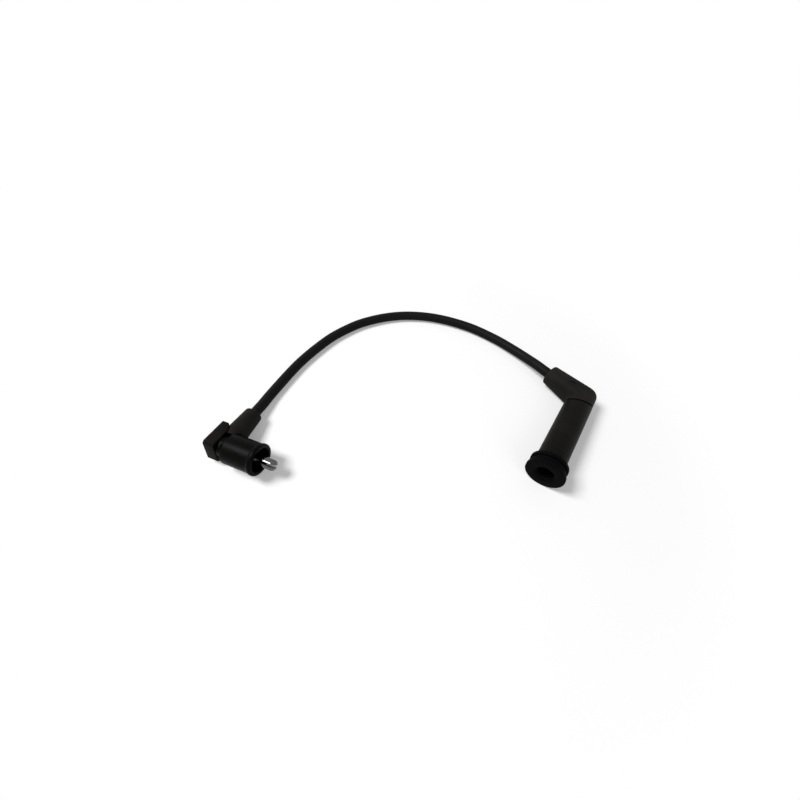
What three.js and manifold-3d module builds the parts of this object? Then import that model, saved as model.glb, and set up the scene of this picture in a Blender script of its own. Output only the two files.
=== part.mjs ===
// Spark plug wire: a short ignition lead with a right-angled coil connector on one end and a right-angled
// spark plug connector on the other, lying at rest on a flat surface. Millimetres, +Z up.
// The spark plug connector points along -Y. The origin is on the surface, under the middle of the connectors.
import * as THREE from "three";
import { ConvexGeometry } from "three/addons/geometries/ConvexGeometry.js";
import { mergeVertices } from "three/addons/utils/BufferGeometryUtils.js";
import Module from "manifold-3d";

// Clearance between pieces that meet
const GAP = 0.3;

// How far a cutting piece runs past what it cuts
const OVERSHOOT = 1;

// Cable
const CABLE_D = 7;
const INSULATION_D = 4.8;
const CORE_D = 2.4;
const CABLE_SIDES = 12;
const CABLE_STEPS = 24;

// Coil connector, measured along its sleeve from the mouth
const COIL_X = -57.8;
const COIL_Y = -77.28;
const COIL_AZIMUTH = 13;
const SLEEVE_D = 19.2;
const SLEEVE_LENGTH = 21.3;
const SLEEVE_BORE_D = 16.4;
const SLEEVE_BORE_DEPTH = 15.5;
const COLLAR_D = 20.3;
const COLLAR_LENGTH = 2.1;
const COLLAR_BORE_D = 15.2;
const COLLAR_BORE_DEPTH = 1.8;
const COLLAR_FLARE = 1.1;
const NECK_D = 13.4;
const NECK_LENGTH = 5.1;
const CABLE_STATION = 25.2;
const LUG_WIDTH = 2.6;
const LUG_LENGTH = 2.4;
const LUG_HEIGHT = 1.2;
const LUG_TURN = 30;
const LUG_STATION = 24;
const LUG_ROOT = 1;
const PORT_D = 10.4;
const PORT_REACH = 14;
const SOFT_EDGE = 0.5;

// Coil end cap, measured from the sleeve's axis
const CAP_LENGTH = 8;
const CAP_ABOVE = 7.8;
const CAP_BELOW = 8.5;
const CAP_FRONT = 7.5;
const CAP_CABLE_SIDE = 11.6;
const CAP_LEDGE = 1.4;
const CAP_DRAFT = 0.9;
const CAP_LEAN = 0.6;
const CAP_FOOT_CHAMFER = 1.7;
const CAP_CABLE_CHAMFER = 4.6;
const CAP_CABLE_CHAMFER_RUN = 3.2;
const CAP_EDGE = 0.6;
const CAP_SLOPE_WIDTH = 9;
const CAP_SLOPE_HEIGHT = 4.4;
const CAP_SPIGOT_D = 11;
const CAP_SPIGOT_LENGTH = 4;
const CAP_NOTCH_ROOT = 3;

// Coil cable boot
const CONE_BASE_D = 14;
const CONE_RIM_D = 11.5;
const CONE_REACH = 28.9;
const CONE_ROUND = 1.4;
const CONE_LEAN = 3;
const CONE_ROOT = 1;

// Coil terminal
const PIN_D = 6.8;
const PIN_REACH = 10.8;
const PIN_TIP_ROUND = 1.9;
// Corners of the tip: shares of its rounding in from the side and back from the end
const PIN_TIP_CORNERS = [
  [0.3, 0.4],
  [0.75, 0.08],
];
const PIN_SLOT = 1.5;
const PIN_SLOT_TURN = -50;
const PIN_SLOT_LENGTH = 13;
const PIN_WAIST_D = 4.6;
const PIN_WAIST_LENGTH = 2.4;
const PIN_TAPER = 1;
const PIN_FLANGE_D = 8;
const PIN_FLANGE_THICKNESS = 1.4;
const PIN_SHANK_D = 3.6;
const PIN_RIVET_D = 4.8;
const PIN_RIVET_HEIGHT = 0.9;
const PIN_RIVET_EDGE = 0.4;
const TAG_THICKNESS = 0.8;
const TAG_D = 7.2;
const CHAMBER_D = 8.8;

// Crimp on each cable end
const CRIMP_WALL = 0.5;
const CRIMP_START = 4.6;
const CRIMP_CORE_LENGTH = 3.2;
const CRIMP_INSULATION_LENGTH = 3.2;
const CRIMP_SLOPE = 0.8;
const STRIP_LENGTH = 3;
const JACKET_START = 11.2;
const CORE_START = 5.2;
const CORE_DEPTH = 10;

// Spark plug connector, measured along its tube from the mouth
const PLUG_X = 83.88;
const PLUG_Y = 8.81;
const PLUG_TURN = -0.29;
const SEAL_D = 22.2;
const SEAL_FRONT_D = 23;
const SEAL_LENGTH = 8.7;
const SEAL_RIB_D = 21;
const SEAL_GROOVE_D = 19.2;
const SEAL_FLANGE = 2.5;
const SEAL_RIB = 1.7;
const SEAL_LIP_BORE_D = 9.6;
const SEAL_LIP = 3;
const SEAL_LIP_CHAMFER = 1.4;
const TUBE_FRONT_D = 17.4;
const TUBE_REAR_D = 17;
const TUBE_BORE_D = 12.8;
const TUBE_SHOULDER = 63.5;
const TUBE_COLUMN = 29;
const SHOULDER_SLANT = 0.21;
const SHOULDER_RAKE = 0.5;
const TUBE_SPIGOT_D = 13.6;
const TUBE_SPIGOT_LENGTH = 9;
const SOCKET_BORE_D = 10.4;
const SOCKET_BORE_LENGTH = 12;
const COLUMN_BORE_D = 7.2;

// Spark plug elbow
const ELBOW_D = 16.9;
const ELBOW_BACK_ROUND = 1.8;
const ARM_PAST_SHOULDER = 6.3;
const HUB_BEFORE_ARM = 5.8;
const HUB_PAST_ARM = 4.7;
const ELBOW_ARM_ANGLE = 17.9;
const ELBOW_ARM_REACH = 27.1;
const ELBOW_RIM_D = 14.1;
const ELBOW_RIM_ROUND = 1.2;
const RECESS_X = -10;
const RECESS_PAST_ARM = 1.7;
const RECESS_LENGTH = 3.6;
const RECESS_WIDTH = 1.8;
const RECESS_FLOOR = 7.4;

// Spark plug terminal and resistor column
const SOCKET_D = 8.6;
const SOCKET_BORE = 6.6;
const SOCKET_DEPTH = 9.5;
const SOCKET_FLOOR = 1.4;
const SNAP_WIRE_D = 0.8;
const SNAP_GROOVE_DEPTH = 0.5;
const SNAP_STATION = 3.6;
const SNAP_OPENING = 50;
const SNAP_SIDES = 8;
const SNAP_STEPS = 36;
const RESISTOR_D = 5;
const RESISTOR_LENGTH = 12;
const RESISTOR_CAP_D = 6.4;
const RESISTOR_CAP_LENGTH = 2.6;
const RESISTOR_CAP_WALL = 0.4;
const SPRING_D = 5;
const SPRING_WIRE_D = 0.7;
const SPRING_TURNS = 4;
const SPRING_SIDES = 6;
const SPRING_TURN_STEPS = 12;
const CONTACT_D = 5.6;
const CONTACT_THICKNESS = 0.8;
const CONTACT_OFFSET = 2.8;
const CONTACT_TAIL = 2.8;

// Free cable, from the coil connector to the spark plug connector
const CABLE_ROUTE = [
  [-90.33, -55.21, 5.7],
  [-91.27, -51.85, 5.15],
  [-92.67, -46.15, 4.4],
  [-94.57, -38.75, 3.8],
  [-96.47, -28.15, 3.55],
  [-98.17, -16.85, 3.55],
  [-99.47, -5.15, 3.55],
  [-99.77, 6.85, 3.55],
  [-99.27, 19.15, 3.55],
  [-97.87, 31.55, 3.55],
  [-94.67, 43.55, 3.55],
  [-90.17, 55.15, 3.55],
  [-83.77, 65.75, 3.55],
  [-76.07, 75.35, 3.55],
  [-67.07, 83.75, 3.55],
  [-56.97, 90.55, 3.55],
  [-45.97, 95.95, 3.55],
  [-34.37, 99.75, 3.55],
  [-22.47, 102.25, 3.55],
  [-10.47, 103.55, 3.55],
  [1.63, 103.25, 3.6],
  [13.43, 101.95, 3.9],
  [25.03, 99.35, 4.5],
  [36.23, 96.05, 5.4],
  [47, 91.3, 7.5],
  [52.9, 88.83, 8.12],
  [58.2, 87.09, 8.2],
];

// Share of a rounded edge's size that its middle corner lies in from the outside
const ROUND_PART = 0.3;

const ROUND = 36;
const FINE = 24;

const rubber = { color: 0x1b1a17, roughness: 0.72, metalness: 0 };
const sealRubber = { color: 0x141414, roughness: 0.8, metalness: 0 };
const plastic = { color: 0x222221, roughness: 0.42, metalness: 0 };
const jacket = { color: 0x1f1f20, roughness: 0.5, metalness: 0 };
const brightMetal = { color: 0xd8d8da, roughness: 0.18, metalness: 1 };
const tinnedSteel = { color: 0xb9bab8, roughness: 0.35, metalness: 1 };
const springSteel = { color: 0x8f9194, roughness: 0.3, metalness: 1 };
const ceramic = { color: 0xd9d2c4, roughness: 0.55, metalness: 0 };
const carbon = { color: 0x2a2a2c, roughness: 0.8, metalness: 0 };

const wasm = await Module();
wasm.setup();

// A closed geometry as a solid that can be cut and joined.
function toSolid(geometry) {
  const bare = geometry.clone();
  bare.deleteAttribute("normal");
  bare.deleteAttribute("uv");
  const merged = mergeVertices(bare, 1e-4);
  const mesh = new wasm.Mesh({
    numProp: 3,
    vertProperties: merged.attributes.position.array,
    triVerts: new Uint32Array(merged.index.array),
  });
  return new wasm.Manifold(mesh);
}

// A solid as a geometry that can be drawn.
function toGeometry(solid) {
  const mesh = solid.getMesh();
  const geometry = new THREE.BufferGeometry();
  geometry.setAttribute("position", new THREE.BufferAttribute(mesh.vertProperties, 3));
  geometry.setIndex(new THREE.BufferAttribute(mesh.triVerts, 1));
  const flat = geometry.toNonIndexed();
  flat.computeVertexNormals();
  return flat;
}

function joined(first, ...others) {
  const solid = others.reduce((sum, other) => sum.add(toSolid(other)), toSolid(first));
  return toGeometry(solid);
}

function without(base, ...tools) {
  const solid = tools.reduce((rest, tool) => rest.subtract(toSolid(tool)), toSolid(base));
  return toGeometry(solid);
}

// A piece turned about the Y axis from [radius, station] corners, which close on the axis or on themselves.
function turned(corners, sides = ROUND) {
  const points = corners.map(([radius, station]) => new THREE.Vector2(radius, station));
  if (points[0].x > 0) points.push(points[0].clone());
  if (THREE.ShapeUtils.isClockWise(points)) points.reverse();
  return new THREE.LatheGeometry(points, sides);
}

// A plain round rod about the Y axis between two stations.
function rod(diameter, from, to, sides = ROUND) {
  const radius = diameter / 2;
  return turned([[0, from], [radius, from], [radius, to], [0, to]], sides);
}

// A box between two corners.
function block(low, high) {
  const size = high.map((value, axis) => value - low[axis]);
  const middle = high.map((value, axis) => (value + low[axis]) / 2);
  return new THREE.BoxGeometry(...size).translate(...middle);
}

// A circle of points square to the Y axis.
function ring(radius, station, sides = ROUND) {
  return Array.from({ length: sides }, (_, i) => {
    const angle = (2 * Math.PI * i) / sides;
    return new THREE.Vector3(radius * Math.cos(angle), station, radius * Math.sin(angle));
  });
}

// A tube of round section along a curve.
function swept(curve, radius, sides, steps) {
  const section = new THREE.Shape().absarc(0, 0, radius, 0, 2 * Math.PI);
  const points = section.getSpacedPoints(sides).slice(0, sides);
  return new THREE.ExtrudeGeometry(new THREE.Shape(points), { extrudePath: curve, steps });
}

// A mesh of its own name and finish.
function part(name, geometry, finish) {
  const mesh = new THREE.Mesh(geometry, new THREE.MeshStandardMaterial(finish));
  mesh.name = name;
  return mesh;
}

const half = (size) => size / 2;
const cableBoreD = CABLE_D + 2 * GAP;
const neckEnd = SLEEVE_LENGTH + NECK_LENGTH;
const housingEnd = neckEnd + CAP_SPIGOT_LENGTH;
const bulkhead = SLEEVE_BORE_DEPTH;
const crimpBoreD = CORE_D + 2 * GAP;
const crimpD = INSULATION_D + 2 * GAP + 2 * CRIMP_WALL;

const coneLean = THREE.MathUtils.degToRad(CONE_LEAN);

// Turns a piece made about the Y axis to run along the coil end's cable, which leans back a little from -X.
const coilCable = (geometry) => geometry.rotateZ(Math.PI / 2 + coneLean).translate(0, -CABLE_STATION, 0);

// The coil connector's housing: sleeve with a collar and an inner lip at its mouth, neck, spigot for the cap
// and port for the cable.
function coilHousing() {
  const collarStart = COLLAR_LENGTH + COLLAR_FLARE;
  const outside = turned([
    [0, -housingEnd],
    [half(CAP_SPIGOT_D), -housingEnd],
    [half(CAP_SPIGOT_D), -neckEnd],
    [half(NECK_D), -neckEnd],
    [half(NECK_D), -SLEEVE_LENGTH],
    [half(SLEEVE_D) - SOFT_EDGE, -SLEEVE_LENGTH],
    [half(SLEEVE_D), -SLEEVE_LENGTH + SOFT_EDGE],
    [half(SLEEVE_D), -collarStart],
    [half(COLLAR_D), -COLLAR_LENGTH],
    [half(COLLAR_D), -SOFT_EDGE],
    [half(COLLAR_D) - SOFT_EDGE, 0],
    [0, 0],
  ]);
  const port = coilCable(rod(PORT_D, 0, PORT_REACH));
  const lugFoot = half(NECK_D) - LUG_ROOT;
  const lug = block(
    [-half(LUG_WIDTH), -LUG_STATION - half(LUG_LENGTH), lugFoot],
    [half(LUG_WIDTH), -LUG_STATION + half(LUG_LENGTH), half(NECK_D) + LUG_HEIGHT],
  );
  lug.rotateY(THREE.MathUtils.degToRad(LUG_TURN));
  const cavity = turned([
    [0, -SLEEVE_BORE_DEPTH],
    [half(SLEEVE_BORE_D), -SLEEVE_BORE_DEPTH],
    [half(SLEEVE_BORE_D), -COLLAR_BORE_DEPTH],
    [half(COLLAR_BORE_D), half(SLEEVE_BORE_D - COLLAR_BORE_D) - COLLAR_BORE_DEPTH],
    [half(COLLAR_BORE_D), OVERSHOOT],
    [0, OVERSHOOT],
  ]);
  const pinBore = rod(PIN_SHANK_D + 2 * GAP, -CABLE_STATION, OVERSHOOT - bulkhead);
  const chamber = rod(CHAMBER_D, -housingEnd - OVERSHOOT, half(CHAMBER_D) - CABLE_STATION);
  const cableBore = coilCable(rod(cableBoreD, 0, PORT_REACH + OVERSHOOT));
  return without(joined(outside, port, lug), cavity, pinBore, chamber, cableBore);
}

// The end cap: a block over the housing's rear spigot, bevelled along its top and notched for the cable boot.
function coilEndCap() {
  const topEdge = CAP_FRONT - CAP_DRAFT - CAP_LEDGE;
  const outline = [
    [-CAP_CABLE_SIDE, CAP_ABOVE],
    [topEdge, CAP_ABOVE],
    [CAP_FRONT - CAP_DRAFT, CAP_ABOVE - CAP_LEDGE],
    [CAP_FRONT, CAP_FOOT_CHAMFER - CAP_BELOW],
    [CAP_FRONT - CAP_FOOT_CHAMFER, -CAP_BELOW],
    [CAP_SLOPE_WIDTH - CAP_CABLE_SIDE, -CAP_BELOW],
    [-CAP_CABLE_SIDE, CAP_SLOPE_HEIGHT - CAP_BELOW],
  ];
  const front = -neckEnd - GAP;
  const back = front - CAP_LENGTH;
  const centreX = (CAP_FRONT - CAP_CABLE_SIDE) / 2;
  const centreZ = (CAP_ABOVE - CAP_BELOW) / 2;
  const shrinkX = 1 - (2 * CAP_EDGE) / (CAP_FRONT + CAP_CABLE_SIDE);
  const shrinkZ = 1 - (2 * CAP_EDGE) / (CAP_ABOVE + CAP_BELOW);
  const corners = outline.flatMap(([x, z]) => [
    [Math.max(x, CAP_CABLE_CHAMFER - CAP_CABLE_SIDE), front, z],
    [x, front - CAP_CABLE_CHAMFER_RUN, z],
    [x, back + CAP_EDGE, z],
    [centreX + (x - centreX) * shrinkX, back, centreZ + (z - centreZ) * shrinkZ],
  ]);
  const leanAt = (z) => (CAP_LEAN * (CAP_ABOVE - z)) / (CAP_ABOVE + CAP_BELOW);
  const body = new ConvexGeometry(corners.map(([x, y, z]) => new THREE.Vector3(x, y - leanAt(z), z)));
  const socket = rod(CAP_SPIGOT_D + 2 * GAP, -housingEnd - GAP, OVERSHOOT - neckEnd);
  const notchStart = half(PORT_D) - CAP_NOTCH_ROOT;
  const notch = coilCable(rod(CONE_BASE_D + 2 * GAP, notchStart, CAP_CABLE_SIDE + OVERSHOOT));
  return without(body, socket, notch);
}

// The rubber cone over the port, that keeps the cable from bending sharply.
function coilCableBoot() {
  const start = half(NECK_D) - CONE_ROOT;
  const outside = turned([
    [half(PORT_D) + GAP, start],
    [half(CONE_BASE_D), start],
    [half(CONE_BASE_D), half(SLEEVE_D)],
    [half(CONE_RIM_D), CONE_REACH - CONE_ROUND],
    [half(CONE_RIM_D) - ROUND_PART * CONE_ROUND, CONE_REACH - ROUND_PART * CONE_ROUND],
    [half(CONE_RIM_D) - CONE_ROUND, CONE_REACH],
    [half(cableBoreD), CONE_REACH],
    [half(cableBoreD), PORT_REACH + GAP],
    [half(PORT_D) + GAP, PORT_REACH + GAP],
  ]);
  const sleeve = rod(SLEEVE_D + 2 * GAP, -SLEEVE_LENGTH - GAP, 0);
  const saddle = rod(NECK_D + 2 * GAP, -neckEnd - CAP_LENGTH, 0);
  return without(coilCable(outside), sleeve, saddle);
}

// The slotted contact pin, with a flange on the bulkhead and a riveted tail through the crimp's tag.
function coilPin() {
  const flangeBack = -bulkhead + GAP;
  const flangeFront = flangeBack + PIN_FLANGE_THICKNESS;
  const waistFront = flangeFront + PIN_WAIST_LENGTH;
  const tagBack = -CABLE_STATION - half(TAG_THICKNESS) - GAP;
  const tip = PIN_TIP_CORNERS.map(([inward, back]) => [
    half(PIN_D) - inward * PIN_TIP_ROUND,
    PIN_REACH - back * PIN_TIP_ROUND,
  ]);
  const body = turned([
    [0, tagBack - PIN_RIVET_HEIGHT],
    [half(PIN_RIVET_D) - PIN_RIVET_EDGE, tagBack - PIN_RIVET_HEIGHT],
    [half(PIN_RIVET_D), tagBack - PIN_RIVET_HEIGHT + PIN_RIVET_EDGE],
    [half(PIN_RIVET_D), tagBack],
    [half(PIN_SHANK_D), tagBack],
    [half(PIN_SHANK_D), flangeBack],
    [half(PIN_FLANGE_D), flangeBack],
    [half(PIN_FLANGE_D), flangeFront],
    [half(PIN_WAIST_D), flangeFront],
    [half(PIN_WAIST_D), waistFront],
    [half(PIN_D), waistFront + PIN_TAPER],
    [half(PIN_D), PIN_REACH - PIN_TIP_ROUND],
    ...tip,
    [0, PIN_REACH],
  ], FINE);
  const slot = block(
    [-PIN_D, PIN_REACH - PIN_SLOT_LENGTH, -half(PIN_SLOT)],
    [PIN_D, PIN_REACH + OVERSHOOT, half(PIN_SLOT)],
  );
  slot.rotateY(THREE.MathUtils.degToRad(PIN_SLOT_TURN));
  return without(body, slot);
}

// The crimp barrel around a stripped cable end, about the Y axis.
function crimpBarrel() {
  const coreEnd = CRIMP_START + CRIMP_CORE_LENGTH;
  const end = coreEnd + CRIMP_INSULATION_LENGTH;
  return turned([
    [half(crimpBoreD), CRIMP_START],
    [half(crimpBoreD) + CRIMP_WALL, CRIMP_START],
    [half(crimpBoreD) + CRIMP_WALL, coreEnd - CRIMP_SLOPE],
    [half(crimpD), coreEnd],
    [half(crimpD), end],
    [half(crimpD) - CRIMP_WALL, end],
    [half(crimpD) - CRIMP_WALL, coreEnd],
    [half(crimpBoreD), coreEnd - CRIMP_SLOPE],
  ], FINE);
}

// The coil end's crimp, whose flat tag takes the pin's tail.
function coilCrimp() {
  const barrel = coilCable(crimpBarrel());
  const tag = rod(TAG_D, -CABLE_STATION - half(TAG_THICKNESS), -CABLE_STATION + half(TAG_THICKNESS), FINE);
  const stripHalf = half(crimpBoreD) + CRIMP_WALL;
  const strip = block(
    [-CRIMP_START - half(TAG_THICKNESS), -CABLE_STATION - half(TAG_THICKNESS), -stripHalf],
    [0, -CABLE_STATION + half(TAG_THICKNESS), stripHalf],
  );
  const hole = rod(PIN_SHANK_D + 2 * GAP, -CABLE_STATION - OVERSHOOT, OVERSHOOT - CABLE_STATION, FINE);
  return without(joined(barrel, tag, strip), hole);
}

// The end of the cable inside a connector, its jacket stripped back, about the Y axis.
function cableEnd(reach) {
  const strip = JACKET_START - STRIP_LENGTH;
  return turned([
    [half(CORE_D) + GAP, strip],
    [half(INSULATION_D), strip],
    [half(INSULATION_D), JACKET_START],
    [half(CABLE_D), JACKET_START],
    [half(CABLE_D), reach],
    [0, reach],
    [0, strip + CORE_DEPTH],
    [half(CORE_D) + GAP, strip + CORE_DEPTH],
  ], FINE);
}

// The conductive core that comes out of a stripped cable end into the crimp, about the Y axis.
function cableCore() {
  const end = JACKET_START - STRIP_LENGTH + CORE_DEPTH - GAP;
  return rod(CORE_D, CORE_START, end, FINE / 2);
}

function coilConnector() {
  const roll = Math.asin((half(COLLAR_D) - half(CONE_RIM_D)) / (CONE_REACH * Math.cos(coneLean)));
  const rolled = new THREE.Group();
  rolled.rotation.y = -roll;
  rolled.add(
    part("coil_housing", coilHousing(), plastic),
    part("coil_end_cap", coilEndCap(), plastic),
    part("coil_cable_boot", coilCableBoot(), rubber),
    part("coil_contact_pin", coilPin(), brightMetal),
    part("coil_crimp_terminal", coilCrimp(), tinnedSteel),
    part("coil_cable_end", coilCable(cableEnd(CONE_REACH)), jacket),
    part("coil_cable_core", coilCable(cableCore()), carbon),
  );
  const placed = new THREE.Group();
  placed.position.set(COIL_X, COIL_Y, half(COLLAR_D));
  placed.rotation.z = THREE.MathUtils.degToRad(COIL_AZIMUTH - 90);
  placed.add(rolled);
  return placed;
}

const armStation = TUBE_SHOULDER + ARM_PAST_SHOULDER;
const elbowRoot = armStation - HUB_BEFORE_ARM;
const elbowBack = armStation + HUB_PAST_ARM;
const tubeBoreDepth = TUBE_SHOULDER - TUBE_COLUMN;
const spigotEnd = TUBE_SHOULDER + TUBE_SPIGOT_LENGTH;
const ribStart = (SEAL_LENGTH - SEAL_RIB) / 2;
const tubeFront = SEAL_LIP + GAP;
const socketStart = tubeBoreDepth + GAP;
const socketEnd = socketStart + SOCKET_DEPTH + SOCKET_FLOOR;
const columnStart = tubeBoreDepth + SOCKET_BORE_LENGTH;
const resistorStart = socketEnd + GAP;

// The ribbed rubber seal that grips the spark plug and the tube's front end.
function plugSeal() {
  return turned([
    [half(SEAL_LIP_BORE_D), SEAL_LIP_CHAMFER],
    [half(SEAL_LIP_BORE_D) + SEAL_LIP_CHAMFER, 0],
    [half(SEAL_FRONT_D) - SOFT_EDGE, 0],
    [half(SEAL_FRONT_D), SOFT_EDGE],
    [half(SEAL_FRONT_D), SEAL_FLANGE],
    [half(SEAL_GROOVE_D), SEAL_FLANGE],
    [half(SEAL_GROOVE_D), ribStart],
    [half(SEAL_RIB_D), ribStart],
    [half(SEAL_RIB_D), ribStart + SEAL_RIB],
    [half(SEAL_GROOVE_D), ribStart + SEAL_RIB],
    [half(SEAL_GROOVE_D), SEAL_LENGTH - SEAL_FLANGE],
    [half(SEAL_D), SEAL_LENGTH - SEAL_FLANGE],
    [half(SEAL_D), SEAL_LENGTH - SOFT_EDGE],
    [half(SEAL_D) - SOFT_EDGE, SEAL_LENGTH],
    [half(TUBE_FRONT_D) + GAP, SEAL_LENGTH],
    [half(TUBE_FRONT_D) + GAP, SEAL_LIP],
    [half(SEAL_LIP_BORE_D), SEAL_LIP],
  ]);
}

const armAngle = THREE.MathUtils.degToRad(ELBOW_ARM_ANGLE);

// Turns a piece made about the Y axis to run along the elbow's arm.
const alongArm = (geometry) => geometry.rotateZ(Math.PI / 2 - armAngle).translate(0, armStation, 0);

// Places a piece made on the plane y = 0 on the slanted plane where the tube meets the elbow.
function onShoulder(geometry) {
  geometry.rotateX(Math.atan(SHOULDER_RAKE)).rotateZ(Math.atan(SHOULDER_SLANT));
  return geometry.translate(0, TUBE_SHOULDER, 0);
}

// The rigid tube: bores for the spark plug, its terminal and the resistor, and a slotted spigot in the elbow.
function plugTube() {
  const outside = turned([
    [half(TUBE_BORE_D), tubeFront],
    [half(TUBE_FRONT_D), tubeFront],
    [half(TUBE_REAR_D), spigotEnd],
    [half(COLUMN_BORE_D), spigotEnd],
    [half(COLUMN_BORE_D), columnStart],
    [half(SOCKET_BORE_D), columnStart],
    [half(SOCKET_BORE_D), tubeBoreDepth],
    [half(TUBE_BORE_D), tubeBoreDepth],
  ]);
  const beyond = onShoulder(block([-ELBOW_D, 0, -ELBOW_D], [ELBOW_D, ELBOW_D, ELBOW_D]));
  const shoulder = without(beyond, rod(TUBE_SPIGOT_D, 0, elbowBack + ELBOW_D));
  const slotWay = alongArm(rod(cableBoreD + 2 * GAP, 0, ELBOW_ARM_REACH));
  return without(outside, shoulder, slotWay);
}

// The rubber elbow: a hub over the tube's spigot, and a wedge from it to the rim around the cable.
function plugElbow() {
  const r = half(ELBOW_D);
  const back = [
    ...ring(r, elbowBack - ELBOW_BACK_ROUND),
    ...ring(r - ROUND_PART * ELBOW_BACK_ROUND, elbowBack - ROUND_PART * ELBOW_BACK_ROUND),
    ...ring(r - ELBOW_BACK_ROUND, elbowBack),
  ];
  const rimR = half(ELBOW_RIM_D);
  const toArm = new THREE.Matrix4().makeRotationZ(Math.PI / 2 - armAngle).setPosition(0, armStation, 0);
  const rim = [
    ...ring(rimR, ELBOW_ARM_REACH - ELBOW_RIM_ROUND),
    ...ring(rimR - ROUND_PART * ELBOW_RIM_ROUND, ELBOW_ARM_REACH - ROUND_PART * ELBOW_RIM_ROUND),
    ...ring(rimR - ELBOW_RIM_ROUND, ELBOW_ARM_REACH),
  ].map((point) => point.applyMatrix4(toArm));
  const wedge = new ConvexGeometry([...ring(r, elbowRoot), ...back, ...rim]);
  const hub = rod(ELBOW_D, TUBE_SHOULDER - half(ELBOW_D), elbowRoot + OVERSHOOT);
  const mouth = onShoulder(block([-2 * ELBOW_D, -2 * ELBOW_D, -ELBOW_D], [2 * ELBOW_D, GAP, ELBOW_D]));
  const socket = rod(TUBE_SPIGOT_D + 2 * GAP, 0, spigotEnd + GAP);
  const bore = alongArm(rod(cableBoreD, 0, ELBOW_ARM_REACH + OVERSHOOT));
  const recess = block(
    [RECESS_X - half(RECESS_LENGTH), armStation + RECESS_PAST_ARM - half(RECESS_WIDTH), RECESS_FLOOR],
    [RECESS_X + half(RECESS_LENGTH), armStation + RECESS_PAST_ARM + half(RECESS_WIDTH), ELBOW_D],
  );
  return without(joined(wedge, hub), mouth, socket, bore, recess);
}

// The snap terminal that clips on the spark plug's nut.
function plugSocket() {
  const groove = socketStart + SNAP_STATION;
  const grooveHalf = half(SNAP_WIRE_D) + GAP;
  const floor = socketStart + SOCKET_DEPTH;
  return turned([
    [half(SOCKET_BORE), socketStart],
    [half(SOCKET_D), socketStart],
    [half(SOCKET_D), groove - grooveHalf],
    [half(SOCKET_D) - SNAP_GROOVE_DEPTH, groove - grooveHalf],
    [half(SOCKET_D) - SNAP_GROOVE_DEPTH, groove + grooveHalf],
    [half(SOCKET_D), groove + grooveHalf],
    [half(SOCKET_D), socketEnd],
    [0, socketEnd],
    [0, floor],
    [half(SOCKET_BORE), floor],
  ], FINE);
}

// The open spring ring in the snap terminal's groove.
function snapRing() {
  const radius = half(SOCKET_D) - SNAP_GROOVE_DEPTH + GAP + half(SNAP_WIRE_D);
  const open = THREE.MathUtils.degToRad(SNAP_OPENING);
  const station = socketStart + SNAP_STATION;
  const points = Array.from({ length: SNAP_STEPS + 1 }, (_, i) => {
    const angle = half(open) + ((2 * Math.PI - open) * i) / SNAP_STEPS;
    return new THREE.Vector3(radius * Math.cos(angle), station, radius * Math.sin(angle));
  });
  return swept(new THREE.CatmullRomCurve3(points), half(SNAP_WIRE_D), SNAP_SIDES, SNAP_STEPS);
}

function resistorRod() {
  return rod(RESISTOR_D, resistorStart + RESISTOR_CAP_WALL + GAP, resistorStart + RESISTOR_LENGTH, FINE);
}

// A cup over one end of the resistor: direction +1 opens towards the elbow, -1 towards the mouth.
function resistorCap(outerFace, direction) {
  const inner = half(RESISTOR_D) + GAP;
  return turned([
    [0, outerFace],
    [half(RESISTOR_CAP_D), outerFace],
    [half(RESISTOR_CAP_D), outerFace + direction * RESISTOR_CAP_LENGTH],
    [inner, outerFace + direction * RESISTOR_CAP_LENGTH],
    [inner, outerFace + direction * RESISTOR_CAP_WALL],
    [0, outerFace + direction * RESISTOR_CAP_WALL],
  ], FINE);
}

const columnEnd = resistorStart + RESISTOR_LENGTH + RESISTOR_CAP_WALL + GAP;
const contactFace = armStation - CONTACT_OFFSET;

// The compression spring between the resistor and the crimp's contact.
function contactSpring() {
  const from = columnEnd + GAP + half(SPRING_WIRE_D);
  const to = contactFace - GAP - half(SPRING_WIRE_D);
  const radius = half(SPRING_D) - half(SPRING_WIRE_D);
  const count = SPRING_TURNS * SPRING_TURN_STEPS;
  const points = Array.from({ length: count + 1 }, (_, i) => {
    const angle = (2 * Math.PI * SPRING_TURNS * i) / count;
    const station = from + ((to - from) * i) / count;
    return new THREE.Vector3(radius * Math.cos(angle), station, radius * Math.sin(angle));
  });
  return swept(new THREE.CatmullRomCurve3(points), half(SPRING_WIRE_D), SPRING_SIDES, count);
}

// The plug end's crimp, with a contact disc that the spring presses on.
function plugCrimp() {
  const barrel = alongArm(crimpBarrel());
  const disc = rod(CONTACT_D, contactFace, contactFace + CONTACT_THICKNESS, FINE);
  const stripHalf = half(crimpBoreD) + CRIMP_WALL;
  const strip = alongArm(block(
    [-stripHalf, -CONTACT_TAIL, -half(stripHalf)],
    [CONTACT_THICKNESS - stripHalf, CRIMP_START + CONTACT_THICKNESS, half(stripHalf)],
  ));
  const boreWay = alongArm(rod(crimpBoreD, CRIMP_START, JACKET_START, FINE));
  return without(joined(barrel, disc, strip), boreWay);
}

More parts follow.
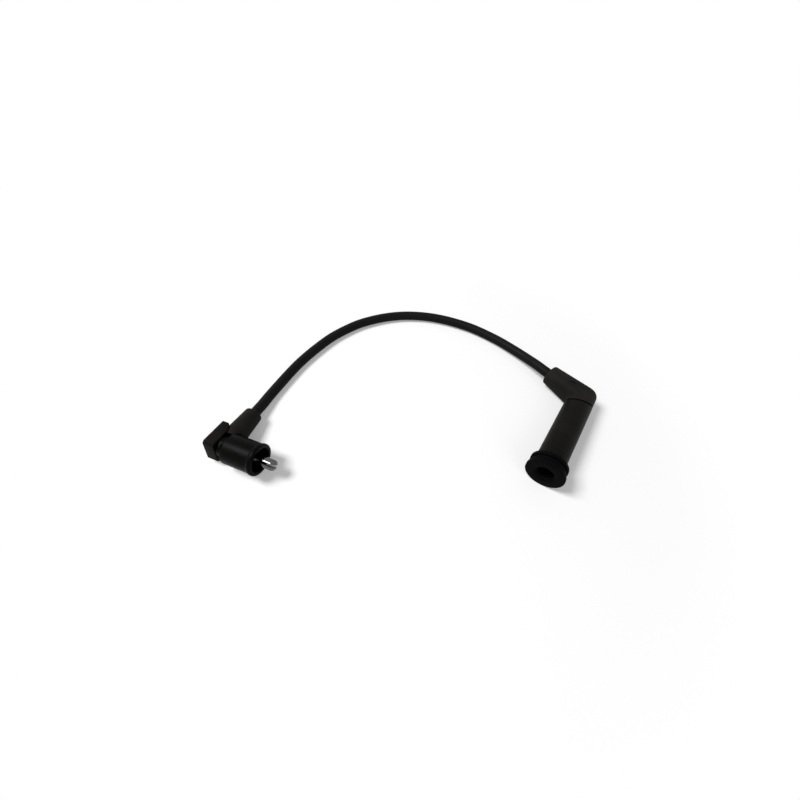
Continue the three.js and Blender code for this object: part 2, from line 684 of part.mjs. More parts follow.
function plugConnector() {
  const elbowEdge = elbowBack - ELBOW_BACK_ROUND;
  const tilt = Math.atan((half(SEAL_FRONT_D) - half(ELBOW_D)) / (elbowEdge - SEAL_FLANGE));
  const height = half(SEAL_FRONT_D) * Math.cos(tilt) + SEAL_FLANGE * Math.sin(tilt);
  const group = new THREE.Group();
  group.position.set(PLUG_X, PLUG_Y, height);
  group.rotation.set(-tilt, 0, THREE.MathUtils.degToRad(PLUG_TURN), "ZYX");
  group.add(
    part("plug_mouth_seal", plugSeal(), sealRubber),
    part("plug_tube", plugTube(), plastic),
    part("plug_elbow", plugElbow(), rubber),
    part("plug_snap_terminal", plugSocket(), tinnedSteel),
    part("plug_snap_ring", snapRing(), springSteel),
    part("resistor_rod", resistorRod(), ceramic),
    part("resistor_cap_lower", resistorCap(resistorStart, 1), brightMetal),
    part("resistor_cap_upper", resistorCap(columnEnd, -1), brightMetal),
    part("contact_spring", contactSpring(), springSteel),
    part("plug_crimp_terminal", plugCrimp(), tinnedSteel),
    part("plug_cable_end", alongArm(cableEnd(ELBOW_ARM_REACH)), jacket),
    part("plug_cable_core", alongArm(cableCore()), carbon),
  );
  return group;
}

// The free cable along its route, as a plain tube.
function freeCable() {
  const points = CABLE_ROUTE.map((point) => new THREE.Vector3(...point));
  return swept(new THREE.CatmullRomCurve3(points), half(CABLE_D), CABLE_SIDES, CABLE_STEPS);
}

const lead = new THREE.Group();
lead.add(coilConnector(), plugConnector(), part("ignition_cable", freeCable(), jacket));

export default lead;
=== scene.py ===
"""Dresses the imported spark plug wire: moulded connectors, cable, finishes, lights and camera."""

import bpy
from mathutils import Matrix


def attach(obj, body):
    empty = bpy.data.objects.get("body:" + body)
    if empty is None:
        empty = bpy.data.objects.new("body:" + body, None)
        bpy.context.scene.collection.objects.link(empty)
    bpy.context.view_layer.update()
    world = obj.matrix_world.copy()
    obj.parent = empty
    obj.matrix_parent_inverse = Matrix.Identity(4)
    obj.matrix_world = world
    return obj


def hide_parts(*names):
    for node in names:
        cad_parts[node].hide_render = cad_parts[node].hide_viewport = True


bl_info = {
    "name": "Spark plug wire",
    "version": (1, 0, 0),
    "blender": (4, 5, 0),
    "location": "View3D > Sidebar > Plug wire",
    "description": "Builds a short ignition lead's connectors, cable, finishes and stage",
    "category": "Object",
}

from math import asin, atan, cos, pi, radians, sin

import bmesh
import bpy
from bpy.props import FloatProperty, FloatVectorProperty, IntProperty, PointerProperty
from mathutils import Matrix, Vector

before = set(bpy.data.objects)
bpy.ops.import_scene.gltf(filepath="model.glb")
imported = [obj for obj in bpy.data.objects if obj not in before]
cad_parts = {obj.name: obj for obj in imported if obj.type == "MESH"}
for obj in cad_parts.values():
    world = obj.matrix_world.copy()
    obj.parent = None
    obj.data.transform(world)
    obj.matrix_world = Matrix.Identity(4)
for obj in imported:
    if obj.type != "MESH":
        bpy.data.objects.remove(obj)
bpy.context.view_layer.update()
BODY = "root"
MM = 0.001
WHITE = (1.0, 1.0, 1.0)

# Lamps, in metres: place from the camera's aim, turned about Z with the camera, and size
KEY_PLACE = (-1.4, 0.2, 2.0)
KEY_SIZE = (0.85, 0.85)
FILL_PLACE = (0.5, -1.2, 0.9)
FILL_SIZE = (1.1, 0.7)

# The cable's route, from the coil connector's rim to the spark plug connector's rim, in metres
ROUTE = (
    (-0.09024, -0.0555, 0.00575),
    (-0.09033, -0.05521, 0.0057),
    (-0.09127, -0.05185, 0.00515),
    (-0.09267, -0.04615, 0.0044),
    (-0.09457, -0.03875, 0.0038),
    (-0.09647, -0.02815, 0.00355),
    (-0.09817, -0.01685, 0.00355),
    (-0.09947, -0.00515, 0.00355),
    (-0.09977, 0.00685, 0.00355),
    (-0.09927, 0.01915, 0.00355),
    (-0.09787, 0.03155, 0.00355),
    (-0.09467, 0.04355, 0.00355),
    (-0.09017, 0.05515, 0.00355),
    (-0.08377, 0.06575, 0.00355),
    (-0.07607, 0.07535, 0.00355),
    (-0.06707, 0.08375, 0.00355),
    (-0.05697, 0.09055, 0.00355),
    (-0.04597, 0.09595, 0.00355),
    (-0.03437, 0.09975, 0.00355),
    (-0.02247, 0.10225, 0.00355),
    (-0.01047, 0.10355, 0.00355),
    (0.00163, 0.10325, 0.0036),
    (0.01343, 0.10195, 0.0039),
    (0.02503, 0.09935, 0.0045),
    (0.03623, 0.09605, 0.0054),
    (0.047, 0.0913, 0.0075),
    (0.0529, 0.08883, 0.00812),
    (0.0582, 0.08709, 0.0082),
    (0.05849, 0.087, 0.00821),
)
ROUTE_STEP = 0.0012

# Clearance between pieces that meet
GAP = 0.3 * MM

# How far a cutting piece runs past what it cuts
OVERSHOOT = 1 * MM

# How deep a joined piece is rooted in its neighbour
ROOT = 1 * MM

# Faces round a turned piece and round the pin
SIDES = 96
PIN_SIDES = 64

# Steps in a rounded corner and in the cone's rim, and the most of a side that a corner's arc takes
FILLET_STEPS = 4
RIM_STEPS = 6
FILLET_SHARE = 0.48

# The angle past which an edge is drawn sharp: on moulded pieces, the cap, the cone and blocks
CREASE = radians(38)
CAP_CREASE = radians(30)
CONE_CREASE = radians(34)
BLOCK_CREASE = 0.1

# The angle past which an edge is bevelled: on the lug, the cap and the pin
BEVEL_LIMIT = radians(28)
CAP_BEVEL_LIMIT = radians(12)
PIN_BEVEL_LIMIT = radians(50)

# Faces of a hull that turn less than this are one face
FLAT_LIMIT = radians(0.5)

# Points that are nearer than this are one point, or lie on the axis, in metres
MERGE_DISTANCE = 1e-7
ON_AXIS = 1e-9

# The camera's sensor in millimetres, and how near it sees in metres
SENSOR_WIDTH = 36.0
CLIP_START = 0.01

# The cable's gloss, and how deep the lines along it are in metres
JACKET_GLOSS = 0.05
JACKET_RELIEF = 0.00005

# Cloudy patches in a metre of a moulded finish
CLOUDS = 90.0

# Moulded finishes: slot, colour, roughness, grains in a metre, depth in metres, gloss, cloudiness
MOULDED = (
    ("hard_plastic", "housing", 0.34, 5200.0, 0.00003, 0.03, 0.25),
    ("cap_plastic", "cap", 0.5, 4200.0, 0.00006, 0.03, 0.3),
    ("tube_plastic", "tube", 0.46, 4600.0, 0.00004, 0.045, 0.3),
    ("boot_rubber", "rubber", 0.66, 3000.0, 0.00007, 0.09, 0.35),
    ("seal_rubber", "seal", 0.6, 3400.0, 0.00006, 0.02, 0.3),
)

# Metal finishes: slot, colour, roughness, tool lines in a metre, their depth in metres
METALS = (
    ("pin_metal", "pin", 0.06, 900.0, 0.00001),
    ("crimp_metal", "tinned", 0.32, 700.0, 0.00002),
    ("spring_steel", "spring", 0.28, 1200.0, 0.00001),
)

# Dull finishes: slot, colour, roughness, pores in a metre, their depth in metres
DULL = (
    ("resistor_ceramic", "ceramic", 0.55, 1800.0, 0.00004),
    ("cable_core", "core", 0.75, 2400.0, 0.00004),
)


def length(name, millimetres):
    """A size, given in millimetres and kept in metres."""
    return FloatProperty(name=name, default=millimetres * MM, unit="LENGTH", precision=5)


def angle(name, degrees):
    """An angle, given in degrees and kept in radians."""
    return FloatProperty(name=name, default=radians(degrees), subtype="ANGLE")


def number(name, default):
    return FloatProperty(name=name, default=default)


def colour(name, *default):
    """A linear colour."""
    return FloatVectorProperty(name=name, default=default, subtype="COLOR", min=0, max=1)


class CableSizes(bpy.types.PropertyGroup):
    diameter: length("Outside diameter of the cable's jacket", 7)
    sides: IntProperty(name="Faces round the cable", default=32, min=8)


class CoilSizes(bpy.types.PropertyGroup):
    mouth_x: length("Where the sleeve's mouth is along X", -57.8)
    mouth_y: length("Where the sleeve's mouth is along Y", -77.28)
    azimuth: angle("Direction that the mouth points in, from +X", 13)
    sleeve_d: length("Outside diameter of the sleeve", 19.2)
    sleeve_length: length("From the mouth to the neck", 21.3)
    bore_d: length("Inside diameter of the sleeve", 16.4)
    bore_depth: length("From the mouth to the bulkhead", 15.5)
    collar_d: length("Outside diameter of the collar at the mouth", 20.3)
    collar_length: length("Length of the collar", 2.1)
    collar_bore_d: length("Inside diameter of the lip in the mouth", 15.2)
    collar_bore_depth: length("How far in the lip reaches", 1.8)
    collar_flare: length("Length of the slope behind the collar", 1.1)
    neck_d: length("Diameter of the neck behind the sleeve", 13.4)
    neck_length: length("From the sleeve to the cap", 5.1)
    spigot_d: length("Diameter of the spigot that holds the cap", 11)
    spigot_length: length("Length of the spigot in the cap", 4)
    chamber_d: length("Diameter of the hollow round the crimp", 8.8)
    lug_width: length("Width of the latch lug on the neck", 2.6)
    lug_length: length("Length of the lug along the sleeve", 2.4)
    lug_height: length("How far the lug stands out of the neck", 1.2)
    lug_edge: length("Bevel of the lug's edges", 0.3)
    lug_station: length("From the mouth to the lug's middle", 24)
    lug_turn: angle("Angle of the lug from the top", 30)
    cable_station: length("From the mouth to the cable's line", 25.2)
    cable_lean: angle("How far the cable leans back from square", 3)
    port_d: length("Diameter of the tube that the cable goes through", 10.4)
    port_reach: length("Length of that tube from the sleeve's line", 14)


class CapSizes(bpy.types.PropertyGroup):
    length: length("Length along the sleeve's line", 8)
    above: length("From the sleeve's line to the top", 7.8)
    below: length("From the sleeve's line to the foot", 8.5)
    front: length("From the sleeve's line to the side away from the cable", 7.5)
    cable_side: length("From the sleeve's line to the cable's side", 11.6)
    ledge: length("Width of the bevel along the top", 1.4)
    draft: length("How much narrower the front is at the top", 0.9)
    lean: length("How far the foot lies behind the top", 0.6)
    foot_chamfer: length("Bevel along the foot", 1.7)
    slope_width: length("Width of the sloped part of the foot", 9)
    slope_height: length("Height of the sloped part of the foot", 4.4)
    cable_chamfer: length("Width of the cut corner beside the boot", 4.6)
    cable_chamfer_run: length("Length of that corner along the sleeve", 3.2)
    edge: length("Bevel of the back face", 0.6)
    notch_root: length("How far the boot's notch starts inside the port's radius", 3)
    soft: length("Rounding of every edge", 0.25)


class BootSizes(bpy.types.PropertyGroup):
    base_d: length("Diameter at the sleeve", 14)
    rim_d: length("Diameter where the cable comes out", 11.5)
    reach: length("From the sleeve's line to the rim", 28.9)
    rim_round: length("Rounding of the rim", 1.4)


class PinSizes(bpy.types.PropertyGroup):
    diameter: length("Diameter of the pin", 6.8)
    reach: length("How far the pin stands out of the mouth", 10.8)
    tip_round: length("Rounding of the tip", 1.9)
    tip_middle: number("Share of the width where the tip bends", 0.82)
    tip_flat: number("Share of the width that is flat at the tip", 0.36)
    slot: length("Width of the slot", 1.5)
    edge: length("Bevel of the slot's edges", 0.08)
    slot_turn: angle("Turn of the slot about the pin, from level", -50)
    slot_length: length("Length of the slot from the tip", 13)
    waist_d: length("Diameter between the flange and the pin", 4.6)
    waist_length: length("Length of the waist", 2.4)
    taper: length("Slope from the waist to the pin", 1)
    flange_d: length("Diameter of the flange on the bulkhead", 8)
    flange_thickness: length("Thickness of that flange", 1.4)
    shank_d: length("Tail through the bulkhead", 3.6)
    shank_end: length("From the mouth to the end of the tail", 26.8)


class PlugSizes(bpy.types.PropertyGroup):
    mouth_x: length("Where the seal's face is along X", 83.88)
    mouth_y: length("Where the seal's face is along Y", 8.81)
    turn: angle("Turn of the tube on the floor, from -Y", -0.29)
    seal_d: length("Diameter of the rear flange", 22.2)
    seal_front_d: length("Diameter of the front flange", 23)
    seal_length: length("Length of the seal", 8.7)
    rib_d: length("Diameter of the rib between the flanges", 21)
    groove_d: length("Diameter between the ribs", 19.2)
    flange: length("Thickness of a flange", 2.5)
    rib: length("Thickness of the rib", 1.7)
    crest_round: length("Rounding of the flanges and the rib", 0.55)
    root_round: length("Rounding at the foot of the grooves", 0.25)
    lip_bore_d: length("Diameter of the hole in the seal's face", 9.6)
    lip: length("Thickness of the lip in front of the tube", 3)
    lip_chamfer: length("Funnel of the hole", 1.4)
    tube_front_d: length("Tube's diameter at the seal", 17.4)
    tube_rear_d: length("Tube's diameter at the elbow", 17)
    bore_d: length("Diameter of the tube's bore for the spark plug", 12.8)
    bore_depth: length("From the face to the terminal", 34.5)
    socket_bore_d: length("Diameter of the bore round the terminal", 10.4)
    socket_bore_length: length("Length of the bore round the terminal", 12)
    column_bore_d: length("Diameter of the bore round the resistor", 7.2)
    shoulder: length("From the face to the elbow's lip", 63.5)
    shoulder_slant: number("Slope of the lip across the tube", 0.21)
    shoulder_rake: number("Slope of the lip from top to bottom", 0.5)
    spigot_d: length("Diameter of the tube's spigot in the elbow", 13.6)
    spigot_length: length("Length of that spigot", 9)
    elbow_d: length("Diameter of the elbow's hub", 16.9)
    elbow_root: length("Where the arm starts on the hub", 64)
    elbow_back: length("From the face to the back of the elbow", 74.5)
    elbow_back_round: length("Rounding of the back", 1.8)
    arm_station: length("Where the arm's line meets the tube's", 69.8)
    arm_angle: angle("How far the arm leans back from square", 17.9)
    arm_reach: length("From the tube's line to the rim", 27.1)
    rim_d: length("Diameter where the cable comes out", 14.1)
    rim_round: length("Rounding of the rim", 1.2)
    recess_x: length("Recess on the elbow, from the tube's line", -10)
    recess_station: length("Recess on the elbow, from the face", 71.5)
    recess_length: length("Length of the recess, across the tube", 3.6)
    recess_width: length("Width of the recess, along the tube", 1.8)
    recess_floor: length("Height of the recess's floor over the tube's line", 7.4)
    voxel: length("Grid that the elbow's skin is rounded on", 0.34)
    soften_steps: IntProperty(name="Times that this skin is softened", default=6)
    groove_deep: length("Groove round the tube at the elbow's lip, how deep", 1)
    groove_wide: length("Groove round the tube at the elbow's lip, how wide", 0.9)


class LeadColours(bpy.types.PropertyGroup):
    jacket: colour("Cable jacket", 0.0055, 0.0055, 0.0055)
    rubber: colour("Boot and elbow", 0.0064, 0.0059, 0.0044)
    seal: colour("Mouth seal", 0.0018, 0.0018, 0.0018)
    housing: colour("Coil connector's sleeve", 0.0012, 0.0011, 0.0009)
    cap: colour("Coil connector's cap", 0.0056, 0.0051, 0.0042)
    tube: colour("Spark plug connector's tube", 0.0046, 0.0042, 0.0034)
    pin: colour("Contact pin", 0.1, 0.1, 0.1)
    tinned: colour("Crimps and terminal", 0.62, 0.62, 0.6)
    spring: colour("Spring wire", 0.42, 0.43, 0.44)
    ceramic: colour("Resistor body", 0.68, 0.63, 0.54)
    core: colour("Conductive core", 0.02, 0.02, 0.021)


class StageLook(bpy.types.PropertyGroup):
    camera_azimuth: angle("Turn of the camera round Z", 34.65)
    camera_elevation: angle("How far the camera looks down", 53.299)
    camera_distance: length("From the camera to the point that it looks at", 251.34)
    aim_x: length("X of the floor's point in the picture's middle", -19.04)
    aim_y: length("Y of that point", 12.61)
    focal: number("Focal length on a 36 mm sensor", 16.0965)
    half_pixel: number("Shift of the view by half a pixel", 0.5 / 800)
    floor: colour("Floor", 0.95, 0.95, 0.95)
    key: number("Power of the large soft light, in watts", 58.0)
    fill: number("Power of the light in front, in watts", 3.0)
    sky: number("Strength of the light from all round", 0.25)
    floor_glow: number("Share of white in the floor beside the lead", 0.25)
    floor_half: length("Half of the floor's side", 3000)
    white_start: length("Distance at which the floor starts to turn white", 140)
    white_full: length("Distance at which the floor is all white", 200)


class Sock:
    """A socket whose arithmetic adds Math nodes."""

    def __init__(self, tree, socket):
        self.tree = tree
        self.socket = socket

    def _math(self, operation, *values, clamp=False):
        settings = {"operation": operation, "use_clamp": clamp}
        return self.tree.node("ShaderNodeMath", settings, dict(enumerate(values)))

    def __add__(self, other):
        return self._math("ADD", self, other)

    __radd__ = __add__

    def __mul__(self, other):
        return self._math("MULTIPLY", self, other)

    __rmul__ = __mul__

    def of(self, name):
        """Another output of the same node."""
        return Sock(self.tree, self.socket.node.outputs[name])

    def clamped(self):
        return self._math("ADD", self, 0.0, clamp=True)


class Tree:
    """A node tree that is written from Python values and Socks."""

    def __init__(self, node_tree):
        self.tree = node_tree

    def node(self, kind, settings=None, values=None, output=0):
        made = self.tree.nodes.new(kind)
        for key, value in (settings or {}).items():
            if key == "stops":
                self._set_stops(made.color_ramp, value)
            else:
                setattr(made, key, value)
        for key, value in (values or {}).items():
            self.feed(made.inputs[key], value)
        return Sock(self, made.outputs[output]) if made.outputs else None

    @staticmethod
    def _set_stops(ramp, stops):
        while len(ramp.elements) < len(stops):
            ramp.elements.new(1.0)
        for element, (place, shade) in zip(ramp.elements, stops):
            element.position = place
            element.color = (shade, shade, shade, 1.0)

    def feed(self, socket, value):
        if isinstance(value, Sock):
            self.tree.links.new(value.socket, socket)
        else:
            socket.default_value = value

    def mixed(self, factor, first, second):
        """A colour between two colours."""
        colours = {0: factor, 6: first, 7: second}
        return self.node("ShaderNodeMix", {"data_type": "RGBA"}, colours, output=2)

    def background_rays(self):
        """1 for the rays that look straight, off a gloss or through glass, else 0."""
        path = self.node("ShaderNodeLightPath")
        straight = path.of("Is Camera Ray") + path.of("Is Glossy Ray")
        return (straight + path.of("Is Transmission Ray")).clamped()


def rgba(value):
    return (*value, 1.0)


def shaded(value, factor):
    """A colour made lighter or darker."""
    return tuple(min(1.0, part * factor) for part in value)


class Finish:
    """A material with one Principled shader and a little maker for its patterns."""

    def __init__(self, name):
        self.material = bpy.data.materials.new(name)
        self.material.use_nodes = True
        self.tree = Tree(self.material.node_tree)
        self.shader = self.material.node_tree.nodes["Principled BSDF"]
        self.place = self.tree.node("ShaderNodeTexCoord", output=3)

    def noise(self, scale, detail=2.0, roughness=0.5, where=None):
        values = {"Vector": where or self.place, "Scale": scale, "Detail": detail, "Roughness": roughness}
        return self.tree.node("ShaderNodeTexNoise", None, values)

    def ramp(self, value, *stops):
        return self.tree.node("ShaderNodeValToRGB", {"stops": stops}, {0: value})

    def stretched(self, scale, where=None):
        """Coordinates stretched by a factor along each axis."""
        return self.tree.node("ShaderNodeMapping", None, {0: where or self.place, 3: scale})

    def feed(self, name, value):
        self.tree.feed(self.shader.inputs[name], value)

    def bump(self, height, distance, strength=1.0):
        values = {"Height": height, "Distance": distance, "Strength": strength}
        self.feed("Normal", self.tree.node("ShaderNodeBump", None, values))


def moulded(name, base, rough, grain, grain_depth, gloss, mottle):
    """Moulded rubber or plastic: fine grain in relief, faint clouds, handling marks in the gloss."""
    finish = Finish(name)
    clouds = finish.noise(CLOUDS, 3.0, 0.55)
    specks = finish.noise(grain, 2.0, 0.6)
    dark = rgba(shaded(base, 1 - mottle))
    light = rgba(shaded(base, 1 + mottle))
    worn = finish.ramp(clouds, (0.35, 0.0), (0.68, 1.0))
    finish.feed("Base Color", finish.tree.mixed(worn, dark, light))
    finish.feed("Roughness", (rough - 0.06 + 0.12 * clouds + 0.05 * specks).clamped())
    finish.bump(specks, grain_depth)
    finish.feed("Specular IOR Level", gloss)
    return finish.material


def jacket_finish(base):
    """The cable's jacket: fine lines drawn along it by the extruder, and faint scuffs."""
    finish = Finish("cable_jacket")
    skin = finish.tree.node("ShaderNodeAttribute", {"attribute_name": "around"}, output=1)
    along = finish.tree.node("ShaderNodeAttribute", {"attribute_name": "along"}, output=2)
    steps = finish.tree.node("ShaderNodeCombineXYZ", None, {2: along * 60.0})
    where = finish.tree.node("ShaderNodeVectorMath", {"operation": "ADD"}, {0: skin, 1: steps})
    drawn = finish.noise(9.0, 3.0, 0.6, finish.stretched((1.0, 1.0, 0.05), where))
    scuffs = finish.noise(2.2, 4.0, 0.65, where)
    specks = finish.noise(2600.0, 2.0, 0.5)
    marks = finish.ramp(scuffs, (0.42, 0.0), (0.72, 1.0))
    worn = finish.tree.mixed(marks * 0.7, rgba(base), rgba(shaded(base, 1.75)))
    finish.feed("Base Color", finish.tree.mixed(drawn * 0.5, worn, rgba(shaded(base, 0.8))))
    finish.feed("Roughness", (0.4 + 0.14 * scuffs + 0.06 * drawn).clamped())
    finish.bump(drawn * 0.7 + specks * 0.3, JACKET_RELIEF, 0.6)
    finish.feed("Specular IOR Level", JACKET_GLOSS)
    return finish.material


def metal_finish(name, base, rough, lines, depth):
    """Plated or drawn metal with fine tool lines."""
    finish = Finish(name)
    tool = finish.noise(lines, 2.0, 0.5, finish.stretched((1.0, 1.0, 0.2)))
    tarnish = finish.noise(260.0, 3.0, 0.6)
    spots = finish.ramp(tarnish, (0.45, 0.0), (0.8, 1.0))
    finish.feed("Base Color", finish.tree.mixed(spots * 0.35, rgba(base), rgba(shaded(base, 0.72))))
    finish.feed("Roughness", (rough + 0.1 * tool + 0.08 * spots).clamped())
    finish.bump(tool, depth, 0.5)
    finish.feed("Metallic", 1.0)
    return finish.material


def plain_finish(name, base, rough, grain, depth):
    """Unglazed ceramic or a carbon-loaded core."""
    finish = Finish(name)
    pores = finish.noise(grain, 4.0, 0.6)
    worn = finish.tree.mixed(pores, rgba(shaded(base, 0.85)), rgba(shaded(base, 1.1)))
    finish.feed("Base Color", worn)
    finish.feed("Roughness", (rough + 0.1 * pores).clamped())
    finish.bump(pores, depth)
    return finish.material


FINISHES = {}


def make_finishes(colours):
    for maker, rows in ((moulded, MOULDED), (metal_finish, METALS), (plain_finish, DULL)):
        for slot, shade, *traits in rows:
            FINISHES[slot] = maker(slot, getattr(colours, shade), *traits)
    FINISHES["cable_jacket"] = jacket_finish(colours.jacket)


def filleted(corners, steps=FILLET_STEPS):
    """Points (radius, station) from such corners. A corner's third value rounds it to an arc."""
    outline = []
    places = [Vector(corner[:2]) for corner in corners]
    for i, corner in enumerate(corners):
        here = places[i]
        if len(corner) == 2:
            outline.append(here)
            continue
        before = places[i - 1] - here
        after = places[(i + 1) % len(places)] - here
        reach = min(corner[2], before.length * FILLET_SHARE, after.length * FILLET_SHARE)
        start = here + before.normalized() * reach
        end = here + after.normalized() * reach
        for step in range(steps + 1):
            t = step / steps
            outline.append(start * (1 - t) ** 2 + here * (2 * t * (1 - t)) + end * t * t)
    return outline


def finish_mesh(name, bm, crease=CREASE):
    """A mesh with outward faces, smooth but for its creases."""
    bmesh.ops.remove_doubles(bm, verts=bm.verts, dist=MERGE_DISTANCE)
    bmesh.ops.recalc_face_normals(bm, faces=bm.faces)
    for face in bm.faces:
        face.smooth = True
    for edge in bm.edges:
        edge.smooth = not (edge.is_manifold and edge.calc_face_angle(0.0) > crease)
    mesh = bpy.data.meshes.new(name)
    bm.to_mesh(mesh)
    bm.free()
    return mesh


def turned(name, outline, sides=SIDES):
    """A closed body turned about Y from (radius, station) points. Points on the axis close it."""
    bm = bmesh.new()
    rings = []
    for radius, station in outline:
        if radius < ON_AXIS:
            rings.append([bm.verts.new((0.0, station, 0.0))])
            continue
        rings.append([bm.verts.new(point) for point in ring_points(radius, station, sides)])
    open_line = outline[0][0] < ON_AXIS and outline[-1][0] < ON_AXIS
    pairs = list(zip(rings, rings[1:])) + ([] if open_line else [(rings[-1], rings[0])])
    for low, high in pairs:
        for i in range(sides):
            j = (i + 1) % sides
            if len(low) == 1:
                bm.faces.new((low[0], high[i], high[j]))
            elif len(high) == 1:
                bm.faces.new((low[i], low[j], high[0]))
            else:
                bm.faces.new((low[i], low[j], high[j], high[i]))
    return finish_mesh(name, bm)


def rod(name, diameter, start, end):
    radius = diameter / 2
    return turned(name, [(0.0, start), (radius, start), (radius, end), (0.0, end)])


def block(name, low, high):
    bm = bmesh.new()
    bmesh.ops.create_cube(bm, size=1.0)
    size = Vector(high) - Vector(low)
    middle = (Vector(high) + Vector(low)) / 2
    bmesh.ops.scale(bm, vec=size, verts=bm.verts)
    bmesh.ops.translate(bm, vec=middle, verts=bm.verts)
    return finish_mesh(name, bm, BLOCK_CREASE)


def hull(name, points):
    bm = bmesh.new()
    for point in points:
        bm.verts.new(point)
    made = bmesh.ops.convex_hull(bm, input=bm.verts)
    spare = set(made["geom_interior"] + made["geom_unused"])
    loose = [item for item in spare if isinstance(item, bmesh.types.BMVert)]
    bmesh.ops.delete(bm, geom=loose, context="VERTS")
    bmesh.ops.dissolve_limit(bm, angle_limit=FLAT_LIMIT, verts=bm.verts, edges=bm.edges)
    return finish_mesh(name, bm)


def ring_points(radius, station, sides=SIDES):
    turns = [2 * pi * i / sides for i in range(sides)]
    return [Vector((radius * cos(turn), station, radius * sin(turn))) for turn in turns]


def rounded_end(radius, end, rounding):
    """Points on a disc's rounded edge, from its side to its face at the end."""
    points = []
    for step in range(FILLET_STEPS + 1):
        lean = step / FILLET_STEPS * pi / 2
        points += ring_points(radius - rounding * (1 - cos(lean)), end - rounding * (1 - sin(lean)))
    return points


def shown(mesh):
    """An object of its own for a mesh."""
    obj = bpy.data.objects.new(mesh.name, mesh)
    bpy.context.scene.collection.objects.link(obj)
    return obj


def settled(obj):
    """The object's mesh with its modifiers worked in, and no modifier left."""
    graph = bpy.context.evaluated_depsgraph_get()
    mesh = bpy.data.meshes.new_from_object(obj.evaluated_get(graph))
    mesh.name = obj.name
    obj.modifiers.clear()
    obj.data = mesh
    return obj


def mesh_of(obj):
    """The object's mesh, without the object."""
    mesh = obj.data
    bpy.data.objects.remove(obj)
    return mesh


def combined(obj, meshes, operation):
    """The object joined with, or cut by, each mesh."""
    for mesh in meshes:
        tool = shown(mesh)
        modifier = obj.modifiers.new("join", "BOOLEAN")
        modifier.operation = operation
        modifier.solver = "EXACT"
        modifier.object = tool
        bpy.context.view_layer.update()
        settled(obj)
        bpy.data.objects.remove(tool)


def bevelled(obj, width, segments=3, limit=BEVEL_LIMIT):
    modifier = obj.modifiers.new("soft edges", "BEVEL")
    modifier.width = width
    modifier.segments = segments
    modifier.limit_method = "ANGLE"
    modifier.angle_limit = limit
    modifier.harden_normals = False
    bpy.context.view_layer.update()
    return settled(obj)


def creased(obj, crease=CREASE):
    """Smooth faces and sharp creases again, after cuts."""
    bm = bmesh.new()
    bm.from_mesh(obj.data)
    materials = list(obj.data.materials)
    mesh = finish_mesh(obj.name, bm, crease)
    for material in materials:
        mesh.materials.append(material)
    obj.data = mesh
    return obj


def placed(obj, matrix):
    obj.data.transform(matrix)


def dressed(obj, finish, *nodes):
    """Gives a piece its finish and its body, and hides the CAD nodes that it stands for."""
    obj.data.materials.clear()
    obj.data.materials.append(FINISHES[finish])
    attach(obj, BODY)
    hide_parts(*nodes)


def coil_frame(scene):
    """From the coil connector's own axes, +Y out of its mouth, to the part's."""
    coil = scene.coil_sizes
    boot = scene.boot_sizes
    drop = (coil.collar_d - boot.rim_d) / 2
    roll = asin(drop / (boot.reach * cos(coil.cable_lean)))
    place = Matrix.Translation((coil.mouth_x, coil.mouth_y, coil.collar_d / 2))
    heading = Matrix.Rotation(coil.azimuth - pi / 2, 4, "Z")
    return place @ heading @ Matrix.Rotation(-roll, 4, "Y")


def coil_cable_frame(coil):
    """From the Y axis to the line of the cable in the coil connector."""
    lean = Matrix.Rotation(pi / 2 + coil.cable_lean, 4, "Z")
    return Matrix.Translation((0, -coil.cable_station, 0)) @ lean


def plug_frame(plug):
    """From the spark plug connector's own axes, +Y into its mouth, to the part's."""
    elbow_edge = plug.elbow_back - plug.elbow_back_round
    tilt = atan((plug.seal_front_d - plug.elbow_d) / 2 / (elbow_edge - plug.flange))
    height = plug.seal_front_d / 2 * cos(tilt) + plug.flange * sin(tilt)
    place = Matrix.Translation((plug.mouth_x, plug.mouth_y, height))
    return place @ Matrix.Rotation(plug.turn, 4, "Z") @ Matrix.Rotation(-tilt, 4, "X")


def arm_frame(plug):
    """From the Y axis to the line of the elbow's arm."""
    lean = Matrix.Rotation(pi / 2 - plug.arm_angle, 4, "Z")
    return Matrix.Translation((0, plug.arm_station, 0)) @ lean


def shoulder_frame(plug):
    """From the plane y = 0 to the slanted plane where the tube meets the elbow."""
    slant = Matrix.Rotation(atan(plug.shoulder_slant), 4, "Z")
    rake = Matrix.Rotation(atan(plug.shoulder_rake), 4, "X")
    return Matrix.Translation((0, plug.shoulder, 0)) @ slant @ rake


